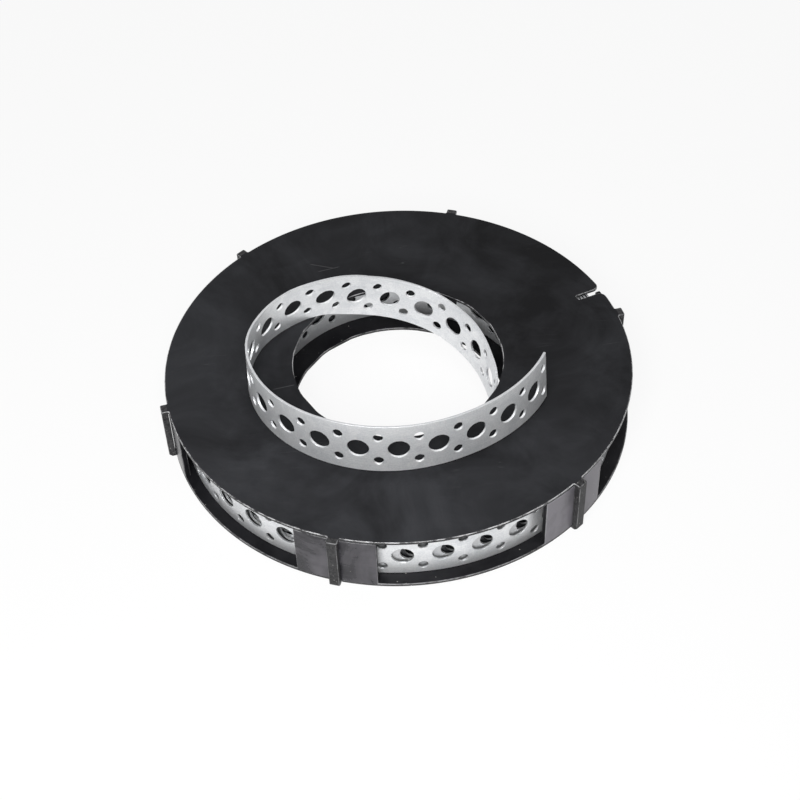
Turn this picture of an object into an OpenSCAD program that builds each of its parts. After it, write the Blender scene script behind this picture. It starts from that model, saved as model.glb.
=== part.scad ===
// Roll of perforated steel strap in a two-part plastic dispenser case.
// The case lies flat: z = 0 is the underside of the base, and the Z axis runs through the centre hole.

/* [Strap] */
// Width of the strap
strap_w = 20; // [17:0.5:26]
// Thickness of the strap
strap_t = 0.8; // [0.7:0.05:1.1]

/* [Perforation] */
// Spacing of the large holes along the strap
hole_pitch = 13.2; // [11:0.1:18]
// Diameter of the large holes
big_d = 7.3; // [4:0.1:8]
// Diameter of the small holes
small_d = 3.4; // [2:0.1:4]
// Distance between the two rows of small holes
row_gap = 10.2; // [8:0.1:12]
// Distance from the free end to the first large hole
first_hole = 9.2; // [7:0.1:11]

/* [Roll] */
// Inner radius of the roll
roll_ri = 45.5; // [42:0.1:48]
// Space between the roll and the rim of the case
rim_space = 4.3; // [3:0.1:8]
// Number of turns in the roll
turns = 26; // [10:1:28]
// Depth of the gaps between the turns at the ends of the roll
turn_gap_depth = 1.5; // [0.5:0.1:3]

/* [Drawn-out end] */
// Angle at which the free end stands on the lid
free_end_angle = -24.5; // [-40:0.5:0]
// Radius of the loop above the lid
loop_r = 53; // [48:0.5:60]
// Height of the loop's front above the lid
loop_lift = 3; // [0:0.1:4]
// Tightest radius of the strap inside the centre hole
curl_r = 29.7; // [25:0.1:31]

/* [Case] */
// Radius of the case
case_r = 82; // [80.5:0.1:95]
// Thickness of the base and lid discs
disc_t = 1.2; // [1:0.1:3]
// Radius of the centre hole in the lid
lid_hole_r = 37; // [34:0.1:39]
// Radius of the centre hole in the base
base_hole_r = 38; // [30:0.1:39]
// Play above and below the strap
strap_play = 0.15; // [0.1:0.05:0.5]
// Number of wall panels and of clip legs
panel_count = 6; // [3:1:8]
// Angle of the first wall panel's middle
panel_angle = 14; // [0:1:30]
// Angle that a wall panel covers
panel_sweep = 19.4; // [12:0.1:30]
// Thickness of a wall panel
panel_t = 2; // [1.2:0.1:2.4]
// Rounding of the disc edges
edge_r = 0.4; // [0.1:0.05:0.45]

/* [Clip legs] */
// Width of a clip leg
leg_w = 3.4; // [2:0.1:6]
// Thickness of a clip leg
leg_t = 2.3; // [1.2:0.1:4]
// Gap between a clip leg and the base
leg_gap = 0.15; // [0.05:0.05:0.4]
// Reach of the barb into the base
barb_reach = 0.9; // [0.4:0.1:1.5]
// Height of the barb
barb_h = 0.5; // [0.3:0.05:0.6]
// Chamfer at the foot of a clip leg
foot_chamfer = 1; // [0.2:0.1:1.1]

/* [Strap slot] */
// Angle of the slot in the lid's rim
slot_angle = 23; // [20:1:40]
// Width of the slot
slot_w = 2.2; // [1.5:0.1:5]
// Length of the slot from the rim
slot_len = 10; // [5:0.5:20]
// Rounding of the slot's mouth
slot_mouth_r = 2.5; // [0.5:0.1:4]

/* [Hidden] */

$fn = 96;
ring_step = 3;

// Heights of the stack
floor_z = disc_t;
roll_z = floor_z + strap_play;
lid_z = roll_z + strap_w + strap_play;
top_z = lid_z + disc_t;
loop_z = top_z + strap_play;
drop = loop_z - roll_z;

// Outer radius of the roll and radial spacing of its turns
roll_ro = case_r - rim_space;
turn_pitch = (roll_ro - roll_ri - strap_t) / (turns - 1);

// Where the drawn-out end meets the roll
meet_r = roll_ri + 2 * strap_t;
meet_z = roll_z + strap_play / 2;
meet_turn = 441;
meet_angle = free_end_angle - meet_turn;
meet_clear = 20;

// Angle of the first large hole on the outer turn, behind a wall panel
outer_hole_angle = -51.7;
// Angle of a large hole on the inner turn, and of the first one clear of the drawn-out end
inner_hole_angle = -230;
inner_step = hole_pitch / roll_ri * 180 / PI;
inner_clear_angle = meet_angle - meet_clear + 360;
inner_first_angle = inner_hole_angle
    + inner_step * floor((inner_clear_angle - inner_hole_angle) / inner_step);
inner_sweep = 360 - 2 * meet_clear - inner_step;

// Way of the drawn-out end's lower edge: turned angle from the free end, radius, height, inward lean
way = [
    [0, 1.032 * loop_r, loop_z + 0.73 * loop_lift, 4],
    [40, 1.005 * loop_r, loop_z + 0.93 * loop_lift, 1.7],
    [80, 1.038 * loop_r, loop_z + loop_lift, 2.4],
    [115, 1.043 * loop_r, loop_z + 0.93 * loop_lift, 0],
    [140, 1.007 * loop_r, loop_z + 0.8 * loop_lift, 2.2],
    [160, 0.928 * loop_r, loop_z + 0.63 * loop_lift, 8.8],
    [178, 0.806 * loop_r, loop_z + 0.4 * loop_lift, 9.8],
    [196, 0.985 * lid_hole_r, loop_z + 0.07 * loop_lift, 11.8],
    [215, 1.125 * curl_r, loop_z - 0.212 * drop, 9.4],
    [240, 1.068 * curl_r, loop_z - 0.44 * drop, 5.4],
    [270, 1.027 * curl_r, loop_z - 0.65 * drop, 0.4],
    [300, curl_r, loop_z - 0.785 * drop, -2.9],
    [330, 1.058 * curl_r, loop_z - 0.9 * drop, -2],
    [352, 0.943 * lid_hole_r, meet_z, -1.4],
    [362, 0.985 * lid_hole_r, meet_z, -1],
    [385, 0.89 * roll_ri, meet_z, 0],
    [415, 0.978 * roll_ri, meet_z, 0],
    [meet_turn, meet_r, meet_z, 0],
];
last = len(way) - 1;

// Smooth curve through the way's stations, column k at the turned angle a
function slope(i, k) =
    let (lo = max(i - 1, 0), hi = min(i + 1, last))
    (way[hi][k] - way[lo][k]) / (way[hi][0] - way[lo][0]);
function station(a) = max([for (i = [0 : last - 1]) if (i == 0 || way[i][0] <= a) i]);
function blend(y0, y1, m0, m1, u) =
    y0 * (2 * u^3 - 3 * u^2 + 1) + m0 * (u^3 - 2 * u^2 + u)
    + y1 * (3 * u^2 - 2 * u^3) + m1 * (u^3 - u^2);
function along(a, k) =
    let (i = station(a), h = way[i + 1][0] - way[i][0])
    blend(way[i][k], way[i + 1][k], h * slope(i, k), h * slope(i + 1, k), (a - way[i][0]) / h);

// Point, direction of travel, outward side and upward side of the drawn-out end
function unit(v) = v / norm(v);
function tail_point(a) =
    let (r = along(a, 1), at = free_end_angle - a)
    [r * cos(at), r * sin(at), along(a, 2)];
function tail_ahead(a) = unit(tail_point(min(a + 0.5, meet_turn)) - tail_point(max(a - 0.5, 0)));
function tail_side(a) = let (t = tail_ahead(a)) unit([-t.y, t.x, 0]);
function tail_rise(a) = cross(tail_ahead(a), tail_side(a));
function tail_out(a) = tail_side(a) * cos(along(a, 3)) + tail_rise(a) * sin(along(a, 3));
function tail_up(a) = tail_rise(a) * cos(along(a, 3)) - tail_side(a) * sin(along(a, 3));
function tail_middle(a) = tail_point(a) + tail_up(a) * strap_w / 2;

// Length along the middle of the drawn-out end, for placing its holes
tail_angles = [for (a = [0 : 1 : meet_turn]) a];
tail_steps = [
    for (i = [1 : len(tail_angles) - 1])
        norm(tail_middle(tail_angles[i]) - tail_middle(tail_angles[i - 1]))
];
function sums(list, i = 0, total = 0) =
    i == len(list) ? [total] : concat([total], sums(list, i + 1, total + list[i]));
tail_lengths = sums(tail_steps);
tail_length = tail_lengths[len(tail_lengths) - 1];
length_to_angle = [for (i = [0 : len(tail_angles) - 1]) [tail_lengths[i], tail_angles[i]]];
tail_hole_end = tail_length - 2 * hole_pitch;

// Round bar across the strap, from the frame of the drawn-out end
module tail_drill(length, rise, d) {
    a = lookup(length, length_to_angle);
    ahead = tail_ahead(a);
    up = tail_up(a);
    out = tail_out(a);
    at = tail_middle(a) + up * rise;
    multmatrix([
        [ahead.x, -up.x, out.x, at.x],
        [ahead.y, -up.y, out.y, at.y],
        [ahead.z, -up.z, out.z, at.z],
        [0, 0, 0, 1],
    ])
        cylinder(d = d, h = 6 * strap_t, center = true);
}

module tail_holes() {
    for (length = [first_hole : hole_pitch : tail_hole_end]) {
        tail_drill(length, 0, big_d);
        for (side = [-1, 1])
            tail_drill(length - hole_pitch / 2, side * row_gap / 2, small_d);
    }
}

// The drawn-out end as a rectangle swept along its way
module tail_sweep() {
    rings = [for (a = [0 : ring_step : meet_turn]) a];
    count = len(rings);
    corners = [[-1, 0], [1, 0], [1, 1], [-1, 1]];
    points = [
        for (a = rings, c = corners)
            tail_point(a) + tail_out(a) * c[0] * strap_t / 2 + tail_up(a) * c[1] * strap_w
    ];
    sides = [
        for (i = [0 : count - 2], j = [0 : 3])
            let (p = 4 * i + j, q = 4 * i + (j + 1) % 4)
            each [[p, p + 4, q], [q, p + 4, q + 4]]
    ];
    first = [[0, 1, 2], [0, 2, 3]];
    e = 4 * (count - 1);
    final = [[e, e + 2, e + 1], [e, e + 3, e + 2]];
    polyhedron(points, concat(sides, first, final));
}

// The wound turns, with the gaps between them cut into both ends
module roll_body() {
    translate([0, 0, roll_z])
        rotate_extrude()
            difference() {
                translate([roll_ri, 0]) square([roll_ro - roll_ri, strap_w]);
                for (i = [0 : turns - 2], low = [-turn_gap_depth, strap_w - turn_gap_depth])
                    translate([roll_ri + i * turn_pitch + strap_t, low])
                        square([turn_pitch - strap_t, 2 * turn_gap_depth]);
            }
}

// Round bar into a turn's face, as deep as the strap is thick
module turn_drill(r, angle, rise, d) {
    rotate(angle)
        translate([r, 0, roll_z + strap_w / 2 + rise])
            rotate([0, 90, 0])
                cylinder(d = d, h = 2 * strap_t, center = true);
}

// Holes of the turn whose face is at radius r, clockwise from an angle and over a sweep
module turn_holes(r, from, sweep) {
    step = hole_pitch / r * 180 / PI;
    for (i = [0 : floor(sweep / step) - 1]) {
        turn_drill(r, from - i * step, 0, big_d);
        for (side = [-1, 1])
            turn_drill(r, from - (i + 0.5) * step, side * row_gap / 2, small_d);
    }
}

module strap() {
    color("silver") {
        difference() {
            roll_body();
            turn_holes(roll_ro, outer_hole_angle, 360);
            turn_holes(roll_ri, inner_first_angle, inner_sweep);
        }
        difference() {
            tail_sweep();
            tail_holes();
        }
    }
}

// Flat ring of the case with rounded edges
module disc(r, hole_r) {
    rotate_extrude()
        polygon([
            [hole_r, edge_r], [hole_r + edge_r, 0],
            [r - edge_r, 0], [r, edge_r],
            [r, disc_t - edge_r], [r - edge_r, disc_t],
            [hole_r + edge_r, disc_t], [hole_r, disc_t - edge_r],
        ]);
}

module each_panel() {
    for (i = [0 : panel_count - 1])
        rotate(panel_angle + i * 360 / panel_count) children();
}

module wall_panel() {
    rotate(-panel_sweep / 2)
        rotate_extrude(angle = panel_sweep)
            translate([case_r - panel_t, edge_r])
                square([panel_t, lid_z - edge_r]);
}

module barb_pocket() {
    translate([case_r - barb_reach - leg_gap, -leg_w / 2 - leg_gap, -1])
        cube([barb_reach + leg_gap + 1, leg_w + 2 * leg_gap, 1 + barb_h + leg_gap]);
}

module case_base() {
    color("dimgray")
        difference() {
            union() {
                disc(case_r, base_hole_r);
                each_panel() wall_panel();
            }
            each_panel() barb_pocket();
        }
}

// Side view of a clip leg: the ear on the lid, the leg and the barb at its foot
module clip_leg() {
    inner = case_r + leg_gap;
    outer = inner + leg_t;
    rotate([90, 0, 0])
        linear_extrude(leg_w, center = true)
            polygon([
                [case_r - 1, top_z], [outer - edge_r, top_z], [outer, top_z - edge_r],
                [outer, foot_chamfer], [outer - foot_chamfer, 0],
                [case_r - barb_reach, 0], [case_r - barb_reach, barb_h], [inner, barb_h],
                [inner, lid_z], [case_r - 1, lid_z],
            ]);
}

module strap_slot() {
    rotate(slot_angle)
        translate([0, 0, lid_z - 1])
            linear_extrude(disc_t + 2) {
                translate([case_r - slot_len, -slot_w / 2])
                    square([slot_len + 1, slot_w]);
                difference() {
                    translate([case_r - slot_mouth_r, -slot_w / 2 - slot_mouth_r])
                        square([slot_mouth_r + 1, slot_w + 2 * slot_mouth_r]);
                    for (side = [-1, 1])
                        translate([case_r - slot_mouth_r, side * (slot_w / 2 + slot_mouth_r)])
                            circle(slot_mouth_r);
                }
            }
}

module case_lid() {
    color("#2b2c2e")
        difference() {
            union() {
                translate([0, 0, lid_z]) disc(case_r, lid_hole_r);
                each_panel() clip_leg();
            }
            strap_slot();
        }
}

case_base();
case_lid();
strap();
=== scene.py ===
# %% [markdown]
# # A roll of perforated steel strap in its dispenser case
# The object is a flat black plastic case, 164 mm across, with a roll of galvanised fixing
# strap wound inside it. The inner end of the strap has been drawn up through the hole in
# the lid and lies on the lid as a loose loop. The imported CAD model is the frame: it gives
# the places and the sizes, and each piece made here takes the place of one of its nodes.

import bmesh
import bpy
import math
import numpy as np
from mathutils import Matrix, Vector
from mathutils.geometry import delaunay_2d_cdt


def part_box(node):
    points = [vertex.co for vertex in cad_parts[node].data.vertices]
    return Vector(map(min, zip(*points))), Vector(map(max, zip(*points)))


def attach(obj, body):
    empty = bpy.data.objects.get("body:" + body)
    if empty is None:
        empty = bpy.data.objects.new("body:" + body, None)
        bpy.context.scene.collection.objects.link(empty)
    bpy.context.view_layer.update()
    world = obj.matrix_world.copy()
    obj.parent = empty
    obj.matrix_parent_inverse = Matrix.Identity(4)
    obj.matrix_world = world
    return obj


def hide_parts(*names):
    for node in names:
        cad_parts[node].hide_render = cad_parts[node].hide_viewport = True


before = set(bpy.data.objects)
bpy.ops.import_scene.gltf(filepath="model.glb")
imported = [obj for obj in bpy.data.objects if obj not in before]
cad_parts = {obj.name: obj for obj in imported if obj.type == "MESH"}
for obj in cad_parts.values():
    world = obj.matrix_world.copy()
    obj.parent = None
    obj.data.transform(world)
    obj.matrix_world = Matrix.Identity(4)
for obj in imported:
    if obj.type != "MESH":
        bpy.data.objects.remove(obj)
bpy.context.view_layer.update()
MM = 0.001


def add_object(name, data):
    """Puts a mesh, a lamp or a camera into the scene."""
    added = bpy.data.objects.new(name, data)
    bpy.context.scene.collection.objects.link(added)
    return added


# %% [markdown]
# ## Sizes of the case and the strap
# The height of the lid's top comes straight from the box of its CAD node, so it follows the
# frame. The rest repeats the few driving sizes of the part, in millimetres, and the other
# heights are worked out from them.

# %% Driving sizes, in millimetres
strap_width = 20.0
strap_thick = 0.8
strap_play = 0.15
disc_thick = 1.2
top_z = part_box("case_lid")[1].z / MM
lid_z = top_z - disc_thick
roll_z = disc_thick + strap_play
loop_z = top_z + strap_play
loop_lift = 3.0
meet_z = roll_z + strap_play / 2
drop = loop_z - roll_z
case_r = 82.0
lid_hole_r = 37.0
base_hole_r = 38.0
roll_inner_r = 45.5
roll_outer_r = 77.7
print("lid top", round(top_z, 3), "strap from", round(roll_z, 3), "loop above", round(loop_z, 3))

# %% [markdown]
# ## The camera
# A long lens, about half a metre away and 45 degrees up, gives the mild perspective of the
# photograph. The small roll tips the horizon by two degrees, and the shift moves the frame
# without turning the camera, which would change the shape of the ellipses.

# %% Camera at the photograph's viewing angle
view_elevation = math.radians(44.9)
view_distance = 533 * MM
view_roll = math.radians(2.08)
focus = Vector((0, 0, top_z * MM))
toward_camera = Vector((0, -math.cos(view_elevation), math.sin(view_elevation)))

camera = add_object("camera", bpy.data.cameras.new("camera"))
camera.data.lens = 68.13
camera.data.sensor_width = 36
camera.data.shift_x = 0.0025
camera.data.shift_y = -0.0518
camera.data.clip_start = 0.01
level = toward_camera.to_track_quat("Z", "Y").to_matrix().to_4x4()
camera.matrix_world = Matrix.Translation(focus + toward_camera * view_distance) @ level @ Matrix.Rotation(
    -view_roll, 4, "Z")
bpy.context.scene.camera = camera
print("camera at", [round(c, 3) for c in camera.location])

# %% [markdown]
# ## Small helpers for node materials
# Every finish below is a node tree. These helpers place a node, set its plain values and
# link its inputs in one call, which keeps each tree short enough to read.


# %% Node helpers
def feed(tree, socket, value):
    """Links an input to a socket, or sets it to a plain value."""
    if isinstance(value, bpy.types.NodeSocket):
        tree.links.new(value, socket)
    else:
        socket.default_value = value


def add_node(tree, kind, values=None, **links):
    """Adds a shader node, sets plain values by socket name or attribute, and links the rest."""
    node = tree.nodes.new("ShaderNode" + kind)
    for name, value in (values or {}).items():
        if name in node.inputs:
            node.inputs[name].default_value = value
        else:
            setattr(node, name, value)
    for name, source in links.items():
        tree.links.new(source, node.inputs[name])
    return node


def add_noise(tree, place, scale, detail, roughness=0.5, distortion=0.0):
    """The value of a noise texture at a place."""
    values = {"Scale": scale, "Detail": detail, "Roughness": roughness, "Distortion": distortion}
    return add_node(tree, "TexNoise", values, Vector=place).outputs["Fac"]


def add_math(tree, operation, first, second=0.0):
    """Adds a Math node whose two inputs are sockets or numbers."""
    node = tree.nodes.new("ShaderNodeMath")
    node.operation = operation
    feed(tree, node.inputs[0], first)
    feed(tree, node.inputs[1], second)
    return node.outputs[0]


def times(tree, first, second):
    """The product of two sockets or numbers."""
    return add_math(tree, "MULTIPLY", first, second)


def add_range(tree, value, low, high, to_low=0.0, to_high=1.0):
    """Maps a value from one range to another, clamped at both ends."""
    node = tree.nodes.new("ShaderNodeMapRange")
    for socket, setting in zip(node.inputs, (value, low, high, to_low, to_high)):
        feed(tree, socket, setting)
    return node.outputs["Result"]


def add_mix(tree, factor, first, second):
    """Mixes two colours, each a socket or a plain colour."""
    node = tree.nodes.new("ShaderNodeMix")
    node.data_type = "RGBA"
    for index, setting in ((0, factor), (6, first), (7, second)):
        feed(tree, node.inputs[index], setting)
    return node.outputs[2]


def new_group(name, inputs, outputs):
    """Starts a shader node group with float or vector inputs and float outputs."""
    group = bpy.data.node_groups.new(name, "ShaderNodeTree")
    for label, default in inputs.items():
        kind = "NodeSocketVector" if default is None else "NodeSocketFloat"
        socket = group.interface.new_socket(label, in_out="INPUT", socket_type=kind)
        if default is not None:
            socket.default_value = default
    for label in outputs:
        group.interface.new_socket(label, in_out="OUTPUT", socket_type="NodeSocketFloat")
    return group, group.nodes.new("NodeGroupInput").outputs, group.nodes.new("NodeGroupOutput").inputs


def new_material(name):
    """Starts a material with one Principled BSDF and its output."""
    material = bpy.data.materials.new(name)
    material.use_nodes = True
    tree = material.node_tree
    return material, tree, tree.nodes["Principled BSDF"].inputs


print("node helpers ready")

# %% [markdown]
# ## Handling marks, a shared effect
# Both the plastic and the zinc carry the marks of handling: cloudy smudges, hair-thin
# scratches and specks of dust. They are one node group with its own scale inputs, because
# the same marks lie on both materials at different strengths. The scratches are the narrow
# crossing of zero in a stretched noise, broken up by a second noise so that they come and go.

# %% Node group: handling marks
marks_group, given, put = new_group(
    "handling marks",
    {"Place": None, "Smudge Size": 0.02, "Scratch Length": 0.03, "Speck Spacing": 0.006,
     "Speck Radius": 0.05},
    ["Smudge", "Scratch", "Speck"])
scratch_ways = ((0.35, 1.7), (1.25, 4.1), (2.3, 7.9))
scratch_stretch = (0.6, 9.0, 9.0)
hair_width = 0.004
bare_cells = 0.72


def scaled_place(tree, place, size):
    """Divides a place by a size, so that one unit of the texture is that size."""
    inverse = add_math(tree, "DIVIDE", 1.0, size)
    node = add_node(tree, "VectorMath", {"operation": "SCALE"})
    tree.links.new(place, node.inputs[0])
    tree.links.new(inverse, node.inputs["Scale"])
    return node.outputs[0]


smudge_place = scaled_place(marks_group, given["Place"], given["Smudge Size"])
smudge_noise = add_noise(marks_group, smudge_place, 1.0, detail=5.0, roughness=0.62, distortion=0.8)
marks_group.links.new(add_range(marks_group, smudge_noise, 0.45, 0.72), put["Smudge"])

scratch_place = scaled_place(marks_group, given["Place"], given["Scratch Length"])
scratch_sum = None
for turn, shift in scratch_ways:
    stretch = {"Location": (shift, shift, shift), "Rotation": (0, 0, turn), "Scale": scratch_stretch}
    stretched = add_node(marks_group, "Mapping", stretch, Vector=scratch_place).outputs[0]
    wander = add_noise(marks_group, stretched, 1.0, detail=1.0)
    off_line = add_math(marks_group, "ABSOLUTE", add_math(marks_group, "SUBTRACT", wander, 0.5))
    hair = add_range(marks_group, off_line, 0.0, hair_width, 1.0, 0.0)
    patch = add_noise(marks_group, scratch_place, 1.3 + turn, detail=2.0)
    broken = times(marks_group, hair, add_range(marks_group, patch, 0.62, 0.72))
    scratch_sum = broken if scratch_sum is None else add_math(marks_group, "MAXIMUM", scratch_sum, broken)
marks_group.links.new(scratch_sum, put["Scratch"])

speck_place = scaled_place(marks_group, given["Place"], given["Speck Spacing"])
speck_cells = add_node(marks_group, "TexVoronoi", {"Scale": 1.0}, Vector=speck_place)
speck_pick = add_node(marks_group, "SeparateColor", Color=speck_cells.outputs["Color"])
speck_size = add_range(marks_group, speck_pick.outputs[0], bare_cells, 1.0, 0.0, given["Speck Radius"])
speck_dot = add_math(marks_group, "LESS_THAN", speck_cells.outputs["Distance"], speck_size)
marks_group.links.new(speck_dot, put["Speck"])
print("handling marks:", len(marks_group.nodes), "nodes")

# %% [markdown]
# ## Worn edges, a shared effect
# Moulded rims and cut steel edges are rubbed bare in places. Each mesh below carries a
# vertex attribute named edge, highest on its rounded edges and 0 on its faces. The group
# breaks that mask up with noise, so the bright line along an edge is uneven, as on a real one.
# On the lid's rim the plastic also uses it for a painted highlight along the edge.

# %% Node group: worn edges
wear_group, given, put = new_group(
    "worn edges", {"Place": None, "Edge": 0.0, "Patch Size": 0.004, "Cover": 0.5}, ["Wear"])
wear_place = scaled_place(wear_group, given["Place"], given["Patch Size"])
wear_noise = add_noise(wear_group, wear_place, 1.0, detail=4.0, roughness=0.7)
wear_gate = add_math(wear_group, "SUBTRACT", 1.0, given["Cover"])
wear_over = add_math(wear_group, "SUBTRACT", wear_noise, wear_gate)
wear_patch = add_range(wear_group, wear_over, -0.08, 0.12)
wear_group.links.new(times(wear_group, given["Edge"], wear_patch), put["Wear"])
print("worn edges:", len(wear_group.nodes), "nodes")

# %% [markdown]
# ## Single scratches, a shared effect
# A few single scratches can be told apart on the lid. Each is a thin line between two
# places, so the group measures how far a place lies along the line and beside it.

# %% Node group: single scratch
line_fade = 0.001
line_group, given, put = new_group(
    "single scratch", {"Place": None, "From": None, "Along": None, "Length": 0.01, "Width": 0.0001}, ["Line"])


def add_vector(tree, operation, first, second):
    """A vector math node between two vector sockets."""
    node = tree.nodes.new("ShaderNodeVectorMath")
    node.operation = operation
    tree.links.new(first, node.inputs[0])
    tree.links.new(second, node.inputs[1])
    return node


offset = add_vector(line_group, "SUBTRACT", given["Place"], given["From"]).outputs["Vector"]
along = add_vector(line_group, "DOT_PRODUCT", offset, given["Along"]).outputs["Value"]
sideways = add_vector(line_group, "CROSS_PRODUCT", offset, given["Along"]).outputs["Vector"]
beside = add_vector(line_group, "LENGTH", sideways, sideways).outputs["Value"]
thin = add_range(line_group, beside, 0.0, given["Width"], 1.0, 0.0)
begun = add_range(line_group, along, 0.0, line_fade)
to_go = add_math(line_group, "SUBTRACT", given["Length"], along)
line = times(line_group, times(line_group, thin, begun), add_range(line_group, to_go, 0.0, line_fade))
line_group.links.new(line, put["Line"])
print("single scratch:", len(line_group.nodes), "nodes")


# %% [markdown]
# ## Black moulded plastic
# The case is polypropylene with a satin moulded face. The lid is nearly black and dull, its
# rim is glossier, the upright wall panels are smoother and show the pale floor in them, and
# the clip legs are the roughest. It is one recipe with different values: a dark colour that
# flow marks, smudges and scratches lift a little, roughness that follows them, a fine moulded
# grain as bump, lighter worn edges, which on the rim also paint its highlight line, and dust.
# A lean paints light and shade that drift slowly from one side of the case to the other. All
# sizes are in metres.

# %% Plastic finish
dust_size = 0.0002
dust_share = 0.75
line_width = 0.0003
line_share = 0.55
smudge_share = 0.3
scratch_share = 0.3
scratch_depth = 0.6
scratch_grey = (0.12, 0.12, 0.124, 1)
worn_and_highlight_grey = (0.5, 0.5, 0.51, 1)
dust_colour = (0.4, 0.39, 0.37, 1)


def group_node(tree, group, values, **links):
    """Places a node group, sets its plain inputs and links the others."""
    return add_node(tree, "Group", {"node_tree": group, **values}, **links).outputs


def plastic(name, dark, light, roughness, gloss, flow_size, grain_size, grain_height, wear_and_highlight,
            speck_spacing, lines=(), lean=(0, 0)):
    """Satin black plastic between a dark and a light grey, with marks, grain, worn edges that can also paint
    a highlight, and a lean of painted light.
    """
    material, tree, surface = new_material(name)
    place = add_node(tree, "TexCoord").outputs["Object"]
    edge = add_node(tree, "Attribute", {"attribute_name": "edge"}).outputs["Fac"]
    sizes = {"Smudge Size": 0.02, "Scratch Length": 0.04, "Speck Spacing": speck_spacing,
             "Speck Radius": dust_size / speck_spacing}
    marks = group_node(tree, marks_group, sizes, Place=place)
    wear = group_node(tree, wear_group, {"Patch Size": 0.004, "Cover": 0.55}, Place=place, Edge=edge)["Wear"]
    flow = add_noise(tree, place, 1 / flow_size, detail=5.0, roughness=0.6, distortion=1.4)
    flow_share = add_range(tree, flow, 0.32, 0.68, 0.0, 0.7)
    cloud = add_math(tree, "ADD", flow_share, times(tree, marks["Smudge"], smudge_share))
    # painted light: the lean makes the tone lighter towards one side of the case
    for axis, share in zip("XY", lean):
        along_axis = add_node(tree, "SeparateXYZ", Vector=place).outputs[axis]
        cloud = add_math(tree, "ADD", cloud, times(tree, along_axis, share / (case_r * MM)))
    body = add_mix(tree, cloud, dark, light)
    scratch = times(tree, marks["Scratch"], scratch_share)
    for begin, finish in lines:
        line_way = (Vector(finish) - Vector(begin)) * MM
        ends = {"From": (begin[0] * MM, begin[1] * MM, top_z * MM), "Along": (*line_way.normalized(), 0),
                "Length": line_way.length, "Width": line_width}
        line = group_node(tree, line_group, ends, Place=place)["Line"]
        scratch = add_math(tree, "MAXIMUM", scratch, times(tree, line, line_share))
    scratched = add_mix(tree, scratch, body, scratch_grey)
    worn = add_mix(tree, times(tree, wear, wear_and_highlight), scratched, worn_and_highlight_grey)
    dusty = add_mix(tree, times(tree, marks["Speck"], dust_share), worn, dust_colour)
    tree.links.new(dusty, surface["Base Color"])
    rough = add_range(tree, cloud, 0.1, 0.9, roughness - 0.05, roughness + 0.08)
    tree.links.new(rough, surface["Roughness"])
    surface["Specular IOR Level"].default_value = gloss
    grain = add_noise(tree, place, 1 / grain_size, detail=3.0)
    height = add_math(tree, "SUBTRACT", grain, times(tree, marks["Scratch"], scratch_depth))
    bump = add_node(tree, "Bump", {"Strength": 0.35, "Distance": grain_height}, Height=height)
    tree.links.new(bump.outputs[0], surface["Normal"])
    return material


print("plastic recipe ready")

# %% [markdown]
# The recipe is used five times. The three scratches that can be told apart on the lid are
# given by their two ends, in millimetres.

# %% Five plastics
lid_lines = [((-44, -13), (-36, -11)), ((-32, 52), (-22, 49)), ((-29, 47.5), (-20.5, 50))]
lid_plastic = plastic(
    "lid satin black", dark=(0.009, 0.009, 0.01, 1), light=(0.037, 0.038, 0.042, 1),
    roughness=0.5, gloss=0.05, flow_size=0.045, grain_size=0.0009, grain_height=0.00004,
    wear_and_highlight=0.3, speck_spacing=0.03, lines=lid_lines, lean=(-0.25, -0.18))
# on the rim the worn grey is at full strength, so its upper rounding carries a painted highlight line as well
# as wear
rim_plastic = plastic(
    "rim gloss black", dark=(0.007, 0.007, 0.008, 1), light=(0.022, 0.022, 0.025, 1),
    roughness=0.22, gloss=0.4, flow_size=0.045, grain_size=0.0012, grain_height=0.00003,
    wear_and_highlight=1.0, speck_spacing=0.02)
floor_plastic = plastic(
    "case floor black", dark=(0.004, 0.004, 0.005, 1), light=(0.018, 0.018, 0.02, 1),
    roughness=0.45, gloss=0.08, flow_size=0.03, grain_size=0.0009, grain_height=0.00004,
    wear_and_highlight=0.3, speck_spacing=0.0014)
panel_plastic = plastic(
    "wall panel grey black", dark=(0.02, 0.0195, 0.023, 1), light=(0.168, 0.16, 0.178, 1),
    roughness=0.32, gloss=0.3, flow_size=0.03, grain_size=0.0012, grain_height=0.00005,
    wear_and_highlight=0.4, speck_spacing=0.0022, lean=(0.75, 0))
leg_plastic = plastic(
    "clip leg rough black", dark=(0.003, 0.003, 0.0035, 1), light=(0.075, 0.074, 0.076, 1),
    roughness=0.5, gloss=0.2, flow_size=0.0014, grain_size=0.0006, grain_height=0.0002,
    wear_and_highlight=0.5, speck_spacing=0.0008)
plastics = (lid_plastic, rim_plastic, floor_plastic, panel_plastic, leg_plastic)
print("plastics:", [finish.name for finish in plastics])

# %% [markdown]
# ## Galvanised steel
# Zinc on rolled strip has three scales of pattern: spangle crystals of a few millimetres,
# faint rolling lines along the strip and a fine grain that frosts the reflection. All of
# them follow the strip and not the room, so the strap mesh carries a UV map laid out flat,
# in metres along and across the strip. The sheared long edges are bare steel, darker than
# the zinc. A mask on the mesh, named shade, mixes in a near-black painted shade on the turns
# that only show through holes, where little light reaches, and less of it on the hole walls.

# %% Strap finish
hole_mask = 0.4
long_edge = (0.6, 0.9)
hole_wall_share = 0.35
stain_share = 0.15
dark_scratch_share = 0.4
sheared_share = 0.5
zinc_dull = (0.62, 0.64, 0.665, 1)
zinc_bright = (0.92, 0.925, 0.93, 1)
zinc_stain = (0.55, 0.57, 0.6, 1)
zinc_scratch = (0.42, 0.43, 0.45, 1)
sheared_steel = (0.36, 0.365, 0.38, 1)
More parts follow.
